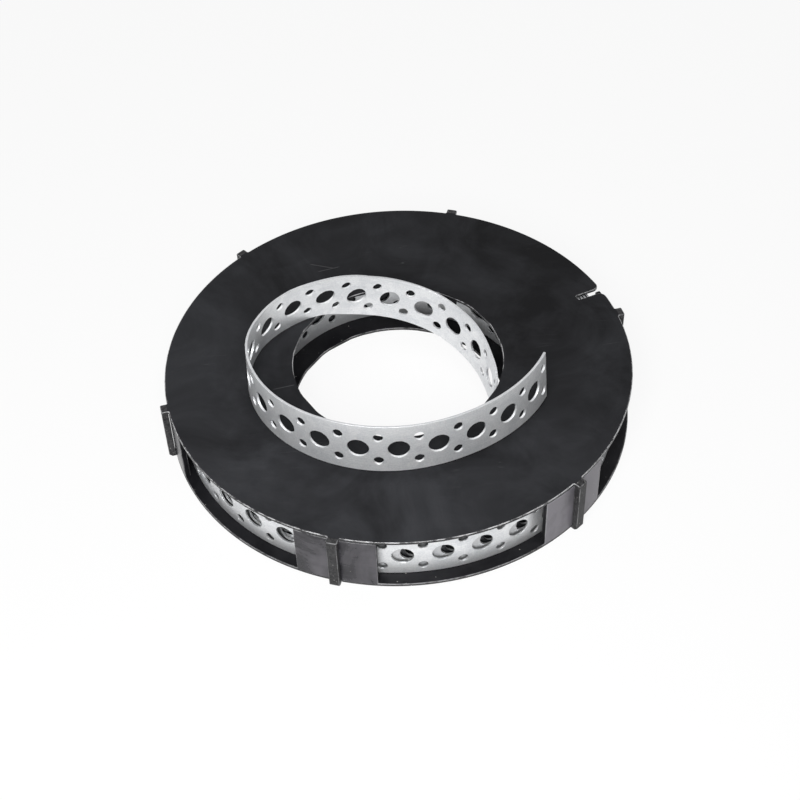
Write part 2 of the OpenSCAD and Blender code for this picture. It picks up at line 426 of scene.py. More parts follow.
# near-black colour of the painted shade deep in the roll
painted_shade_steel = (0.02, 0.021, 0.023, 1)
steel, tree, surface = new_material("galvanised strap")
flat_place = add_node(tree, "UVMap", {"uv_map": "flat"}).outputs[0]
edge = add_node(tree, "Attribute", {"attribute_name": "edge"}).outputs["Fac"]
marks = group_node(tree, marks_group, {"Smudge Size": 0.014, "Scratch Length": 0.018}, Place=flat_place)
wear = group_node(tree, wear_group, {"Patch Size": 0.003, "Cover": 0.7}, Place=flat_place, Edge=edge)["Wear"]
spangle = add_node(tree, "TexVoronoi", {"Scale": 420.0, "Randomness": 1.0}, Vector=flat_place)
crystal = add_node(tree, "SeparateColor", Color=spangle.outputs["Color"]).outputs[0]
rolled_place = add_node(tree, "Mapping", {"Scale": (60.0, 2600.0, 1.0)}, Vector=flat_place).outputs[0]
rolling = add_noise(tree, rolled_place, 1.0, detail=3.0)
grain = add_noise(tree, flat_place, 1700.0, detail=3.0, roughness=0.7)
cloud = add_noise(tree, flat_place, 55.0, detail=4.0)
tone = times(tree, crystal, 0.08)
for pattern, share in ((cloud, 0.3), (rolling, 0.2), (grain, 0.42)):
    tone = add_math(tree, "ADD", tone, times(tree, pattern, share))
zinc = add_mix(tree, add_range(tree, tone, 0.34, 0.64), zinc_dull, zinc_bright)
stained = add_mix(tree, times(tree, marks["Smudge"], stain_share), zinc, zinc_stain)
scratched = add_mix(tree, times(tree, marks["Scratch"], dark_scratch_share), stained, zinc_scratch)
sheared = times(tree, wear, add_range(tree, edge, *long_edge))
cut = add_mix(tree, times(tree, sheared, sheared_share), scratched, sheared_steel)
# painted shade: the shade mask mixes the zinc towards near-black where the roll lies in shadow, weaker on
# hole walls and not on the long edges
shade = add_node(tree, "Attribute", {"attribute_name": "shade"}).outputs["Fac"]
shade = times(tree, shade, add_range(tree, edge, 0.05, hole_mask, 1.0, hole_wall_share))
shade = times(tree, shade, add_range(tree, edge, *long_edge, 1.0, 0.0))
tree.links.new(add_mix(tree, shade, cut, painted_shade_steel), surface["Base Color"])
surface["Metallic"].default_value = 0.65
tree.links.new(add_range(tree, tone, 0.3, 0.7, 0.44, 0.34), surface["Roughness"])
relief = add_math(tree, "ADD", grain, times(tree, rolling, 0.5))
relief = add_math(tree, "SUBTRACT", relief, times(tree, marks["Scratch"], 0.8))
bump = add_node(tree, "Bump", {"Strength": 0.3, "Distance": 0.00003}, Height=relief)
tree.links.new(bump.outputs[0], surface["Normal"])
print("strap finish:", len(tree.nodes), "nodes")

# %% [markdown]
# ## The way of the strap
# The strap is one strip of steel from its free end to the outside of the roll. Its first
# stretch stands over the lid as a loop, dips through the hole and curls round inside it, as in
# the CAD source: each station gives the turned angle from the free end, the radius, the
# height of the lower edge and the inward lean in degrees. After that it is a plain spiral,
# and a formula gives its radius.

# %% Stations of the drawn-out end
free_end_angle = -24.5
loop_r = 53.0
curl_r = 29.7
roll_start = 432.0
roll_end = 9501.5
inner_middle = roll_inner_r + strap_thick / 2
outer_middle = roll_outer_r - strap_thick / 2
turn_pitch = (outer_middle - inner_middle) / (roll_end - roll_start) * 360


def roll_radius(turned):
    """Radius of the wound strip's middle at a turned angle."""
    return inner_middle + (turned - roll_start) / 360 * turn_pitch


settled = roll_start + 60
way = np.array([
    (0, 1.032 * loop_r, loop_z + 0.73 * loop_lift, 4),
    (40, 1.005 * loop_r, loop_z + 0.93 * loop_lift, 1.7),
    (80, 1.038 * loop_r, loop_z + loop_lift, 2.4),
    (115, 1.043 * loop_r, loop_z + 0.93 * loop_lift, 0),
    (140, 1.007 * loop_r, loop_z + 0.8 * loop_lift, 2.2),
    (160, 0.928 * loop_r, loop_z + 0.63 * loop_lift, 8.8),
    (178, 0.806 * loop_r, loop_z + 0.4 * loop_lift, 9.8),
    (196, 0.985 * lid_hole_r, loop_z + 0.07 * loop_lift, 11.8),
    (215, 1.125 * curl_r, loop_z - 0.212 * drop, 9.4),
    (240, 1.068 * curl_r, loop_z - 0.44 * drop, 5.4),
    (270, 1.027 * curl_r, loop_z - 0.65 * drop, 0.4),
    (300, curl_r, loop_z - 0.785 * drop, -2.9),
    (330, 1.058 * curl_r, loop_z - 0.9 * drop, -2),
    (352, 0.943 * lid_hole_r, meet_z, -1.4),
    (362, 0.985 * lid_hole_r, meet_z, -1),
    (385, 0.89 * roll_inner_r, meet_z, 0),
    (415, 0.978 * roll_inner_r, meet_z, 0),
    (roll_start, inner_middle, roll_z, 0),
    (settled, roll_radius(settled), roll_z, 0),
])


def along_way(turned, column):
    """Smooth curve through the stations, the same as in the CAD source."""
    last = len(way) - 1
    index = np.clip(np.searchsorted(way[:, 0], turned, side="right") - 1, 0, last - 1)
    before, after = np.maximum(np.arange(last + 1) - 1, 0), np.minimum(np.arange(last + 1) + 1, last)
    slope = (way[after, column] - way[before, column]) / (way[after, 0] - way[before, 0])
    span = way[index + 1, 0] - way[index, 0]
    u = (turned - way[index, 0]) / span
    return (way[index, column] * (2 * u**3 - 3 * u**2 + 1) + span * slope[index] * (u**3 - 2 * u**2 + u)
            + way[index + 1, column] * (3 * u**2 - 2 * u**3) + span * slope[index + 1] * (u**3 - u**2))


print("stations:", len(way), "turns in the roll:", round((roll_end - roll_start) / 360, 1))

# %% [markdown]
# From the stations comes a dense table of the strip's middle line, with three directions
# at every place: ahead along the strip, out through its face and up across its width. Any
# flat drawing of the strip can then be bent to shape by looking its length up in the table.

# %% Middle line and directions
turned = np.arange(0.0, roll_end + 1.0)
on_way = turned <= settled
radius = np.where(on_way, along_way(np.minimum(turned, settled), 1), roll_radius(turned))
height = np.where(on_way, along_way(np.minimum(turned, settled), 2), roll_z)
lean = np.radians(np.where(on_way, along_way(np.minimum(turned, settled), 3), 0.0))[:, None]
angle = np.radians(free_end_angle - turned)
lower_edge = np.column_stack([radius * np.cos(angle), radius * np.sin(angle), height])


def unit_rows(rows):
    """Each row of a table of vectors at length one."""
    return rows / np.linalg.norm(rows, axis=1)[:, None]


ahead = unit_rows(np.gradient(lower_edge, axis=0))
side = unit_rows(np.column_stack([-ahead[:, 1], ahead[:, 0], np.zeros(len(ahead))]))
rise = np.cross(ahead, side)
out = side * np.cos(lean) + rise * np.sin(lean)
up = rise * np.cos(lean) - side * np.sin(lean)
middle = lower_edge + up * strap_width / 2
length_at = np.concatenate([[0], np.cumsum(np.linalg.norm(np.diff(middle, axis=0), axis=1))])
strip_length = length_at[-1]


def look_up(lengths, table):
    """Rows of a table at the given lengths along the strip."""
    return np.column_stack([np.interp(lengths, length_at, table[:, k]) for k in range(3)])


print("strip length in m:", round(strip_length * MM, 2))

# %% [markdown]
# ## One pitch of the strap, drawn flat
# The strap is punched: a large hole, then a pair of small ones half a pitch on, and again.
# So one pitch is drawn flat and triangulated once, with a Delaunay triangulation that
# keeps the hole circles as edges, and is then repeated along the strip. Holes and edges get
# walls as deep as the steel is thick, with a narrow rounding that catches the light. Normals
# are worked out rather than averaged, so the bent faces shade smoothly.

# %% Flat cells
hole_pitch = 13.2
first_hole = 9.2
big_r = 3.65
small_r = 1.7
row_gap = 10.2
edge_round = 0.09
cell_back = 4.3
cross_rows = 4
hole_clear = 0.5
merge_closer = 1e-5


def ring_of(center, r, count):
    """Points of a circle, counter-clockwise."""
    turns = np.arange(count) * 2 * math.pi / count
    return np.column_stack([center[0] + r * np.cos(turns), center[1] + r * np.sin(turns)])


def flat_cell(start, end, holes, columns, big_count=32, small_count=18, cut_start=False, cut_end=False):
    """A flat stretch of strap: places (along, across, out), normals, edge mask and faces."""
    half = strap_width / 2 - edge_round
    face_out = strap_thick / 2
    low = start + edge_round if cut_start else start
    high = end - edge_round if cut_end else end
    xs = np.linspace(low, high, columns + 1)
    ys = np.linspace(-half, half, cross_rows + 1)
    border = [(x, -half) for x in xs] + [(high, y) for y in ys[1:-1]]
    border += [(x, half) for x in xs[::-1]] + [(low, y) for y in ys[-2:0:-1]]
    points = [np.array(border)]
    loops = [np.arange(len(border))]
    for center, r in holes:
        count = big_count if r > (big_r + small_r) / 2 else small_count
        loops.append(np.arange(count) + sum(len(p) for p in points))
        points.append(ring_of(center, r + edge_round, count))
    inside = [(x, y) for x in xs[1:-1] for y in ys[1:-1]
              if all(math.hypot(x - c[0], y - c[1]) > r + edge_round + hole_clear for c, r in holes)]
    points.append(np.array(inside).reshape(-1, 2))
    points = np.vstack(points)
    limits = [(int(a), int(b)) for loop in loops for a, b in zip(loop, np.roll(loop, -1))]
    corners = [Vector(p) for p in points]
    placed, _, triangles, sources, _, _ = delaunay_2d_cdt(corners, limits, [], 1, merge_closer)
    assert len(placed) == len(points)
    origin = [s[0] for s in sources]
    triangles = [[origin[i] for i in tri] for tri in triangles]

    def in_hole(tri):
        x, y = points[tri].mean(axis=0)
        return any(math.hypot(x - c[0], y - c[1]) < r for c, r in holes)

    triangles = [tri for tri in triangles if not in_hole(tri)]
    count = len(points)
    flat = np.column_stack([points, np.full(count, face_out)])
    places = [flat, flat * (1, 1, -1)]
    normals = [np.tile((0.0, 0.0, 1.0), (count, 1)), np.tile((0.0, 0.0, -1.0), (count, 1))]
    masks = [np.zeros(2 * count)]
    faces = [tri[::-1] for tri in triangles] + [[i + count for i in tri] for tri in triangles]
    row = columns + 1
    bottom, top = np.arange(row), np.arange(row + cross_rows - 1, 2 * row + cross_rows - 1)
    right = np.arange(row - 1, row + cross_rows)
    left = np.append(np.arange(2 * row + cross_rows - 2, len(border)), 0)
    sides = [(bottom, (0.0, -1.0)), (top, (0.0, 1.0))]
    if cut_start:
        sides.append((left, (-1.0, 0.0)))
    if cut_end:
        sides.append((right, (1.0, 0.0)))
    walls = [(line, np.tile(facing, (len(line), 1)), False) for line, facing in sides]
    for loop, (center, r) in zip(loops[1:], holes):
        walls.append((loop[::-1], (center - points[loop[::-1]]) / (r + edge_round), True))
    total = 2 * count
    for loop, facing, closed in walls:
        size = len(loop)
        rim = np.column_stack([points[loop] + facing * edge_round, np.full(size, face_out - edge_round)])
        places += [rim, rim * (1, 1, -1)]
        normals += [np.column_stack([facing, np.zeros(size)])] * 2
        masks.append(np.full(2 * size, hole_mask if closed else 1.0))
        rows = [loop, np.arange(size) + total, np.arange(size) + total + size, loop + count]
        total += 2 * size
        for upper, lower in zip(rows[:-1], rows[1:]):
            for i in range(size if closed else size - 1):
                j = (i + 1) % size
                faces.append([int(upper[i]), int(upper[j]), int(lower[j]), int(lower[i])])
    return np.vstack(places), np.vstack(normals), np.concatenate(masks), faces


# %% [markdown]
# Four cells are drawn: a fine one for what lies open, one for the outermost turn, a coarser
# one for the turns behind it, and a plain one. In the windows the photograph shows the rows
# of holes a little low, as if the real roll stood deeper in its base, so the cells of the
# outer turns have their holes lowered by that much.

# %% The four cells
window_drop = 1.2
fine_columns = 7
deep_columns = 6
deep_rings = (24, 12)
plain_columns = 2


def pitch_holes(drop):
    """The three holes of one pitch, lowered on the strap by a drop."""
    smalls = [(np.array((hole_pitch / 2, s * row_gap / 2 - drop)), small_r) for s in (-1, 1)]
    return [(np.array((0.0, -drop)), big_r)] + smalls


one_pitch = (-cell_back, hole_pitch - cell_back)
fine_cell = flat_cell(*one_pitch, pitch_holes(0), fine_columns)
outer_cell = flat_cell(*one_pitch, pitch_holes(window_drop), fine_columns)
deep_cell = flat_cell(*one_pitch, pitch_holes(window_drop), deep_columns, *deep_rings)
plain_cell = flat_cell(*one_pitch, [], plain_columns)
print("faces of a fine, a deep and a plain pitch:", [len(c[3]) for c in (fine_cell, deep_cell, plain_cell)])

# %% [markdown]
# ## Laying the strap
# The drawn-out end, the turns at the bore and the outermost turns are punched in full,
# because they can be seen. The hidden turns between stay plain, since punching them would
# triple the mesh for nothing. The holes of the outer turns don't line up: each turn starts
# a little further round, so a hole shows a slice of the next turn's hole and of its steel.
# In the left window the turns are offset otherwise, and the seam between the two patterns
# lies behind a wall panel. Each row of the shifts gives how many turns lie outside this one,
# and its offsets along the strip in the front and the left window.

# %% Choose a cell for each pitch
front_hole_angle = -90.6
inner_hole_angle = 130.0
inner_turns = 2
turn_shifts = ((3, 5.4, -4.0), (2, 4.3, -2.6), (1, 2.8, 0.6))
left_sweep = 60
front_to_left = 4


def length_of(turned_angle):
    """Length along the strip at a turned angle."""
    return float(np.interp(turned_angle, turned, length_at))


def turn_seen_at(angle_seen, after):
    """First turned angle after a given one at which the strip stands at an angle of the case."""
    return after + (free_end_angle - angle_seen - after) % 360


def punched_block(hole, begin_turn, end_turn, cell):
    """First hole, count and cell of the whole pitches between two turned angles."""
    begin, finish = length_of(begin_turn), length_of(end_turn)
    first = hole - math.floor((hole - cell_back - begin) / hole_pitch) * hole_pitch
    return first, math.floor((finish - (first - cell_back)) / hole_pitch), cell


tail_count = math.floor((length_of(roll_start) - first_hole) / hole_pitch)
blocks = [(first_hole, tail_count, fine_cell)]
inner_begin = float(np.interp(first_hole - cell_back + tail_count * hole_pitch, length_at, turned))
inner_hole = length_of(turn_seen_at(inner_hole_angle, inner_begin))
blocks.append(punched_block(inner_hole, inner_begin, roll_start + 360 * inner_turns, fine_cell))
left_hole_angle = front_hole_angle - math.degrees(front_to_left * hole_pitch / outer_middle)
for outside, front_shift, left_shift in turn_shifts:
    end_turn = roll_end - 360 * outside
    begin_turn = end_turn - 360
    left_turn = end_turn - left_sweep
    front_hole = length_of(turn_seen_at(front_hole_angle, begin_turn)) - front_shift
    blocks.append(punched_block(front_hole, begin_turn, left_turn, deep_cell))
    left_hole = length_of(turn_seen_at(left_hole_angle, begin_turn)) - left_shift
    blocks.append(punched_block(left_hole, left_turn, end_turn, deep_cell))
outer_hole = length_of(turn_seen_at(front_hole_angle, roll_end - 360))
blocks.append(punched_block(outer_hole, roll_end - 360, roll_end, outer_cell))
print("punched pitches:", [count for _, count, _ in blocks])

# %% [markdown]
# Between the punched blocks the strip is plain. Whole plain pitches fill most of a gap, and
# one odd stretch joins them to the next block, out of sight.

# %% Fill the roll from the inside out
count_slack = 0.001
least_stretch = 0.01
end_columns = 4
cells = []
odd_cells = []
position = first_hole - cell_back
for first, count, cell in blocks:
    plain_count = math.floor((first - cell_back - position) / hole_pitch + count_slack)
    cells += [(position + cell_back + k * hole_pitch, plain_cell) for k in range(plain_count)]
    position += plain_count * hole_pitch
    if first - cell_back - position > least_stretch:
        odd_cells.append(flat_cell(position, first - cell_back, [], plain_columns))
    cells += [(first + k * hole_pitch, cell) for k in range(count)]
    position = first - cell_back + count * hole_pitch
odd_cells.append(flat_cell(position, strip_length, [], plain_columns, cut_end=True))
end_holes = [(np.array((first_hole - hole_pitch / 2, s * row_gap / 2)), small_r) for s in (-1, 1)]
odd_cells.append(flat_cell(0.0, first_hole - cell_back, end_holes, end_columns, cut_start=True))
print("pitches in all:", len(cells), "odd stretches:", len(odd_cells))

# %% [markdown]
# Now the flat cells are joined: places that fall together at the seams between cells become
# one vertex, and the table of the middle line bends the whole strip to its way.

# %% Join the cells and bend the strip
seam_digits = 3
places, normals, masks, faces = [], [], [], []
total = 0
whole_cells = [(np.array((at, 0.0, 0.0)), cell) for at, cell in cells]
whole_cells += [(np.zeros(3), cell) for cell in odd_cells]
for shift, (cell_places, cell_normals, cell_masks, cell_faces) in whole_cells:
    places.append(cell_places + shift)
    normals.append(cell_normals)
    masks.append(cell_masks)
    faces += [[i + total for i in face] for face in cell_faces]
    total += len(cell_places)
places, normals, masks = np.vstack(places), np.vstack(normals), np.concatenate(masks)
_, kept, same = np.unique(np.round(places, seam_digits), axis=0, return_index=True, return_inverse=True)
same = same.ravel()
places, normals, masks = places[kept], normals[kept], masks[kept]
faces = [[int(same[i]) for i in face] for face in faces]

at_ahead, at_up, at_out = (look_up(places[:, 0], table) for table in (ahead, up, out))
bent = look_up(places[:, 0], middle) + at_up * places[:, 1:2] + at_out * places[:, 2:3]
facing = unit_rows(at_ahead * normals[:, 0:1] + at_up * normals[:, 1:2] + at_out * normals[:, 2:3])
print("joined vertices:", len(bent))

# %% [markdown]
# The painted shade mask follows the turn that each vertex belongs to. The second turn gets
# the most painted shade under the lid, the third only shows its steel in the left window, and
# all below is painted dark. On the outermost turn the backs of the hole walls get painted
# shade, and so does the foot of the strap in places, as painted shade from the dark ledge
# below it. At the bore the painted shade grows with the depth. A value over 1 makes up for the
# smaller share that the hole walls take of it.

# %% Painted shade of the wound turns
second_shade = 0.25
small_hole_shade = 0.6
left_second_shade = 0.92
left_third_shade = 0.05
deep_shade = 1.0
wall_shade = 1.5
top_wall_shade = 2.6
row_stops = (-4, -3, 2, 4)
top_row_from = 2
foot_angles = (0, 50, 62, 80, 115, 140)
foot_shades = (0.4, 0.3, 0.0, 0.05, 0.4, 0.2)
foot_high = strap_width / 5
bore_begin = 330
bore_shade = 0.35

# every value below is painted shade, mixed into the steel colour as near-black
turn_at = np.interp(places[:, 0], length_at, turned)
turns_in = (roll_end - turn_at) / 360
depth = 0.5 - places[:, 1] / strap_width
across = places[:, 1] + window_drop
row_shades = (small_hole_shade, second_shade, second_shade, deep_shade)
in_left_window = turns_in % 1 < left_sweep / 360
second = np.interp(across, row_stops, row_shades)
second = np.where(in_left_window, np.maximum(second, left_second_shade), second)
third = np.where(in_left_window, left_third_shade, deep_shade)
# painted shade on the backs of the outermost hole walls, and at the strap's foot from the dark ledge below
outer_wall = np.where(across > top_row_from, top_wall_shade, wall_shade)
foot = np.interp(places[:, 1], (-strap_width / 2, -foot_high), (1, 0))
foot = foot * np.interp(turns_in * 360, foot_angles, foot_shades)
outer = np.where(places[:, 2] < 0, outer_wall, foot)
shade = np.select([turns_in > 3, turns_in > 2, turns_in > 1], [deep_shade, third, second], outer)
bore = np.clip((turn_at - bore_begin) / (roll_start - bore_begin), 0, 1) * bore_shade * depth
shade = np.where(turn_at < roll_start + 360, bore, shade)
print("shaded vertices:", int((shade > 0).sum()))

# %% [markdown]
# The bent places become one mesh with its two masks, its own normals and its flat UV map.


# %% Make the strap
def smooth_mesh(name, places, faces, normals, **masks):
    """A smooth mesh from places in millimetres, with its own normals and vertex attributes."""
    mesh = bpy.data.meshes.new(name)
    mesh.from_pydata((places * MM).tolist(), [], faces)
    for label, values in masks.items():
        mesh.attributes.new(label, "FLOAT", "POINT").data.foreach_set("value", values.astype(np.float32))
    mesh.polygons.foreach_set("use_smooth", np.ones(len(faces), bool))
    mesh.normals_split_custom_set_from_vertices(normals.tolist())
    return mesh


strap_mesh = smooth_mesh("strap_strip", bent, faces, facing, edge=masks, shade=shade)
flat_map = strap_mesh.uv_layers.new(name="flat")
loop_vertex = np.zeros(len(strap_mesh.loops), np.int32)
strap_mesh.loops.foreach_get("vertex_index", loop_vertex)
flat_map.data.foreach_set("uv", (places[loop_vertex, :2] * MM).ravel().astype(np.float32))
strap_mesh.materials.append(steel)
strap = add_object("perforated_strap", strap_mesh)
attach(strap, "root")
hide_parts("strap")
strap_mesh.calc_loop_triangles()
print("strap:", len(strap_mesh.vertices), "vertices,", len(strap_mesh.loop_triangles), "triangles")

# %% [markdown]
# ## The lid
# The lid is one thin moulded disc with six ears on its rim, from which the clip legs hang,
# and a slot in the rim where a length of strap can be held while it is cut. Its outline is
# drawn from arcs and straight lines, and then raised into a plate with rounded edges: each
# ring of the rounding is the outline moved inward along its own normals.


# %% Outline helpers
def arc_points(center, r, begin, finish, count):
    """Points of an arc between two angles in degrees, both ends included."""
    turns = np.radians(np.linspace(begin, finish, count))
    return [(center[0] + r * math.cos(t), center[1] + r * math.sin(t)) for t in turns]


def turned_points(points, degrees):
    """Points turned about the middle of the case."""
    c, s = math.cos(math.radians(degrees)), math.sin(math.radians(degrees))
    return [(x * c - y * s, x * s + y * c) for x, y in points]


def mirrored(points):
    """Half an outline, followed by its mirror image across the X axis."""
    return points + [(x, -y) for x, y in points[::-1]]


def reach_at(r, across):
    """How far out a circle of radius r is at a distance across from its diameter."""
    return math.sqrt(r * r - across * across)


corner_points = 4
mouth_points = 8
leg_count = 6
leg_angle = 14.0
leg_width = 3.4
leg_thick = 2.3
leg_gap = 0.15
ear_side = 0.2
ear_half = leg_width / 2 + ear_side
ear_reach = case_r + leg_gap + leg_thick
ear_corner = 0.5
ear_fillet = 0.4


def ear_outline():
    """The rim's step out to an ear and back, with the ear pointing along X."""
    foot = reach_at(case_r, ear_half + ear_fillet) + ear_fillet
    corner = ear_reach - ear_corner
    points = arc_points((foot, -ear_half - ear_fillet), ear_fillet, 180, 90, corner_points)
    return mirrored(points + arc_points((corner, -ear_half + ear_corner), ear_corner, -90, 0, corner_points))


slot_angle = 23.0
slot_half = 1.1
slot_length = 10
slot_end = case_r - slot_length
slot_mouth = 2.5
slot_corner = 0.45


def slot_outline():
    """The rim's way into the slot and out again, with the slot pointing along X."""
    mouth_x = reach_at(case_r - slot_mouth, slot_half + slot_mouth)
    flare = math.degrees(math.atan2(slot_half + slot_mouth, mouth_x))
    corner = (slot_end + slot_corner, -slot_half + slot_corner)
    points = arc_points((mouth_x, -slot_half - slot_mouth), slot_mouth, -flare, 90, mouth_points)
    return mirrored(points + arc_points(corner, slot_corner, -90, -180, corner_points))


print("ear points:", len(ear_outline()), "slot points:", len(slot_outline()))

# %% [markdown]
# The plate has three finishes: 0 on its flat faces, 1 on its walls and 2 on the ears. The
# edge mask lies on the upper rounding alone, where hands and tools rub it and where the rim
# carries its painted highlight.

# %% Raise an outline into a plate
plate_round = 0.35
round_steps = 3
rim_step = 1.5
hole_points = 180
plate_merge = 1e-6


def rim_outline(features):
    """A circle of the case's radius with features let into it, each a pair of angle and points."""
    features = sorted((a % 360, points) for a, points in features)
    outline = []
    for i, (at, points) in enumerate(features):
        placed = turned_points(points, at)
        outline += placed
        leave = math.degrees(math.atan2(placed[-1][1], placed[-1][0]))
        next_at, next_points = features[(i + 1) % len(features)]
        first = turned_points(next_points, next_at)[0]
        arrive = math.degrees(math.atan2(first[1], first[0]))
        sweep = (arrive - leave) % 360
        steps = max(2, round(sweep / rim_step))
        outline += arc_points((0, 0), case_r, leave, leave + sweep, steps + 1)[1:-1]
    return np.array(outline)


def outline_normals(points):
    """Outward direction at each point of a counter-clockwise outline."""
    edges = np.roll(points, -1, axis=0) - points
    right = unit_rows(np.column_stack([edges[:, 1], -edges[:, 0]]))
    return unit_rows(right + np.roll(right, 1, axis=0))


def raised_plate(outline, hole, low, high, name):
    """A plate between two heights with rounded edges outside and round its hole, as a mesh."""
    loops = [(outline, outline_normals(outline)), (hole[::-1], outline_normals(hole[::-1]))]
    places, normals, masks, faces, rings = [], [], [], [], []
    total = 0
    swing = np.linspace(0, math.pi / 2, round_steps + 1)
    profile = [(plate_round * (1 - math.sin(s)), high - plate_round * (1 - math.cos(s)), s) for s in swing]
    profile += [(inset, low + high - z, math.pi - s) for inset, z, s in profile[::-1]]
    for points, facing in loops:
        size = len(points)
        rows = []
        for inset, z, s in profile:
            places.append(np.column_stack([points - facing * inset, np.full(size, z)]))
            normals.append(np.column_stack([facing * math.sin(s), np.full(size, math.cos(s))]))
            masks.append(np.full(size, max(0.0, math.sin(2 * s))))
            rows.append(np.arange(size) + total)
            total += size
        for upper, lower in zip(rows[:-1], rows[1:]):
            faces += [[int(upper[i]), int(lower[i]), int(lower[i - size + 1]), int(upper[i - size + 1])]
                      for i in range(size)]
        rings.append(rows)
    places, normals, masks = np.vstack(places), np.vstack(normals), np.concatenate(masks)
    edge_rows = np.concatenate([rows[0] for rows in rings])
    flat = places[edge_rows, :2]
    split = len(outline)
    limits = [(i, (i + 1) % split) for i in range(split)]
    limits += [(split + i, split + (i + 1) % len(hole)) for i in range(len(hole))]
    corners = [Vector(p) for p in flat]
    _, _, triangles, sources, _, _ = delaunay_2d_cdt(corners, limits, [], 1, plate_merge)
    hole_r = np.linalg.norm(hole[0])
    triangles = [[sources[i][0] for i in tri] for tri in triangles]
    triangles = [tri for tri in triangles if np.linalg.norm(flat[tri].mean(axis=0)) > hole_r]
    last_rows = np.concatenate([rows[-1] for rows in rings])
    wall_faces = len(faces)
    faces += [[int(edge_rows[i]) for i in tri] for tri in triangles]
    faces += [[int(last_rows[i]) for i in tri[::-1]] for tri in triangles]
    finish = np.ones(len(faces), np.int32)
    finish[wall_faces:] = 0
    centres = np.array([np.linalg.norm(places[face, :2].mean(axis=0)) for face in faces])
    finish[centres > case_r + ear_fillet] = 2
    mesh = smooth_mesh(name, places, faces, normals, edge=masks)
    mesh.polygons.foreach_set("material_index", finish)
    return mesh


leg_angles = [leg_angle + i * 360 / leg_count for i in range(leg_count)]
lid_outline = rim_outline([(a, ear_outline()) for a in leg_angles] + [(slot_angle, slot_outline())])
lid_mesh = raised_plate(lid_outline, ring_of((0, 0), lid_hole_r, hole_points), lid_z, top_z, "lid_plate")
for finish in (lid_plastic, rim_plastic, leg_plastic):
    lid_mesh.materials.append(finish)
lid = add_object("case_lid_plate", lid_mesh)
print("lid plate:", len(lid_outline), "outline points,", len(lid_mesh.polygons), "faces")

# %% [markdown]
# ## The clip legs
# Each leg hangs from its ear, runs down outside the wall panel and hooks under the base
# with a small barb. A leg is the side view of the CAD leg pushed across its width, and a
# bevel takes the sharpness off all its edges.

# %% Legs and their barbs
bevel_steps = 2
bevel_sharper = math.radians(30)
leg_bevel = 0.2
leg_sink = 0.5
foot_cut = 1.0
barb_reach = 0.9
barb_high = 0.5


def beveled(bm, width):
    """Bevels every sharp edge of a bmesh and marks the roundings."""
    edges = [e for e in bm.edges if len(e.link_faces) == 2 and e.calc_face_angle() > bevel_sharper]
    result = bmesh.ops.bevel(bm, geom=edges, offset=width * MM, segments=bevel_steps, profile=0.5,
                             affect="EDGES", clamp_overlap=True)
    layer = bm.verts.layers.float.get("edge") or bm.verts.layers.float.new("edge")
    rounding = set(result["faces"])
    for vert in bm.verts:
        vert[layer] = 1.0 if all(face in rounding for face in vert.link_faces) else 0.0


def leg_at(at):
    """One clip leg, drawn along X and turned to its angle."""
    inner = case_r + leg_gap
    outer = inner + leg_thick
    barb_in = case_r - barb_reach
    sunk = lid_z + leg_sink
    outline = [(outer, foot_cut), (outer, sunk), (inner, sunk), (inner, barb_high), (barb_in, barb_high),
               (barb_in, 0.0), (outer - foot_cut, 0.0)]
    bm = bmesh.new()
    verts = [bm.verts.new((x * MM, -leg_width / 2 * MM, z * MM)) for x, z in outline]
    face = bm.faces.new(verts)
    pushed = bmesh.ops.extrude_face_region(bm, geom=[face])
    moved = [g for g in pushed["geom"] if isinstance(g, bmesh.types.BMVert)]
    bmesh.ops.translate(bm, verts=moved, vec=(0, leg_width * MM, 0))
    bmesh.ops.recalc_face_normals(bm, faces=bm.faces)
    beveled(bm, leg_bevel)
    turn = Matrix.Rotation(math.radians(at), 3, "Z")
    bmesh.ops.rotate(bm, verts=bm.verts, cent=(0, 0, 0), matrix=turn)
    return bm


def round_the_case(name, make):
    """One smooth mesh of what a function makes at the angle of every leg."""
    whole = bmesh.new()
    whole.verts.layers.float.new("edge")
    for at in leg_angles:
        one = make(at)
        piece = bpy.data.meshes.new("piece")
        one.to_mesh(piece)
        one.free()
        whole.from_mesh(piece)
        bpy.data.meshes.remove(piece)
    mesh = bpy.data.meshes.new(name)
    whole.to_mesh(mesh)
    whole.free()
    mesh.polygons.foreach_set("use_smooth", np.ones(len(mesh.polygons), bool))
    return mesh


leg_mesh = round_the_case("clip_legs", leg_at)
leg_mesh.materials.append(leg_plastic)
clip_legs = add_object("case_lid_clip_legs", leg_mesh)
clip_legs.modifiers.new("flat faces stay flat", "WEIGHTED_NORMAL").keep_sharp = True
for piece in (lid, clip_legs):
    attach(piece, "root")
    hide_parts("case_lid")
print("clip legs:", len(leg_mesh.polygons), "faces")

# %% [markdown]
# ## The base
# The base is a matching disc with six short curved wall panels that carry the lid. Between
# them are the windows that show the roll. The disc is raised from its outline as the lid
# is, with six small pockets let into the rim for the barbs. A boolean could cut them, but
# drawing them in the outline keeps the mesh clean. The panels are bent boxes with rounded
# edges that stand in the disc. Their outer faces are smooth and show the pale floor, and
# their other faces are as dark as the inside of the case.

# %% Disc, panels and pockets
panel_half = 9.7
panel_thick = 2.0
panel_steps = 14
panel_low = disc_thick / 2
lid_shy = 0.06
panel_high = lid_z - lid_shy
panel_bevel = 0.35
rim_shy = 0.03
pocket_corner = 0.4
facing_out = 0.5


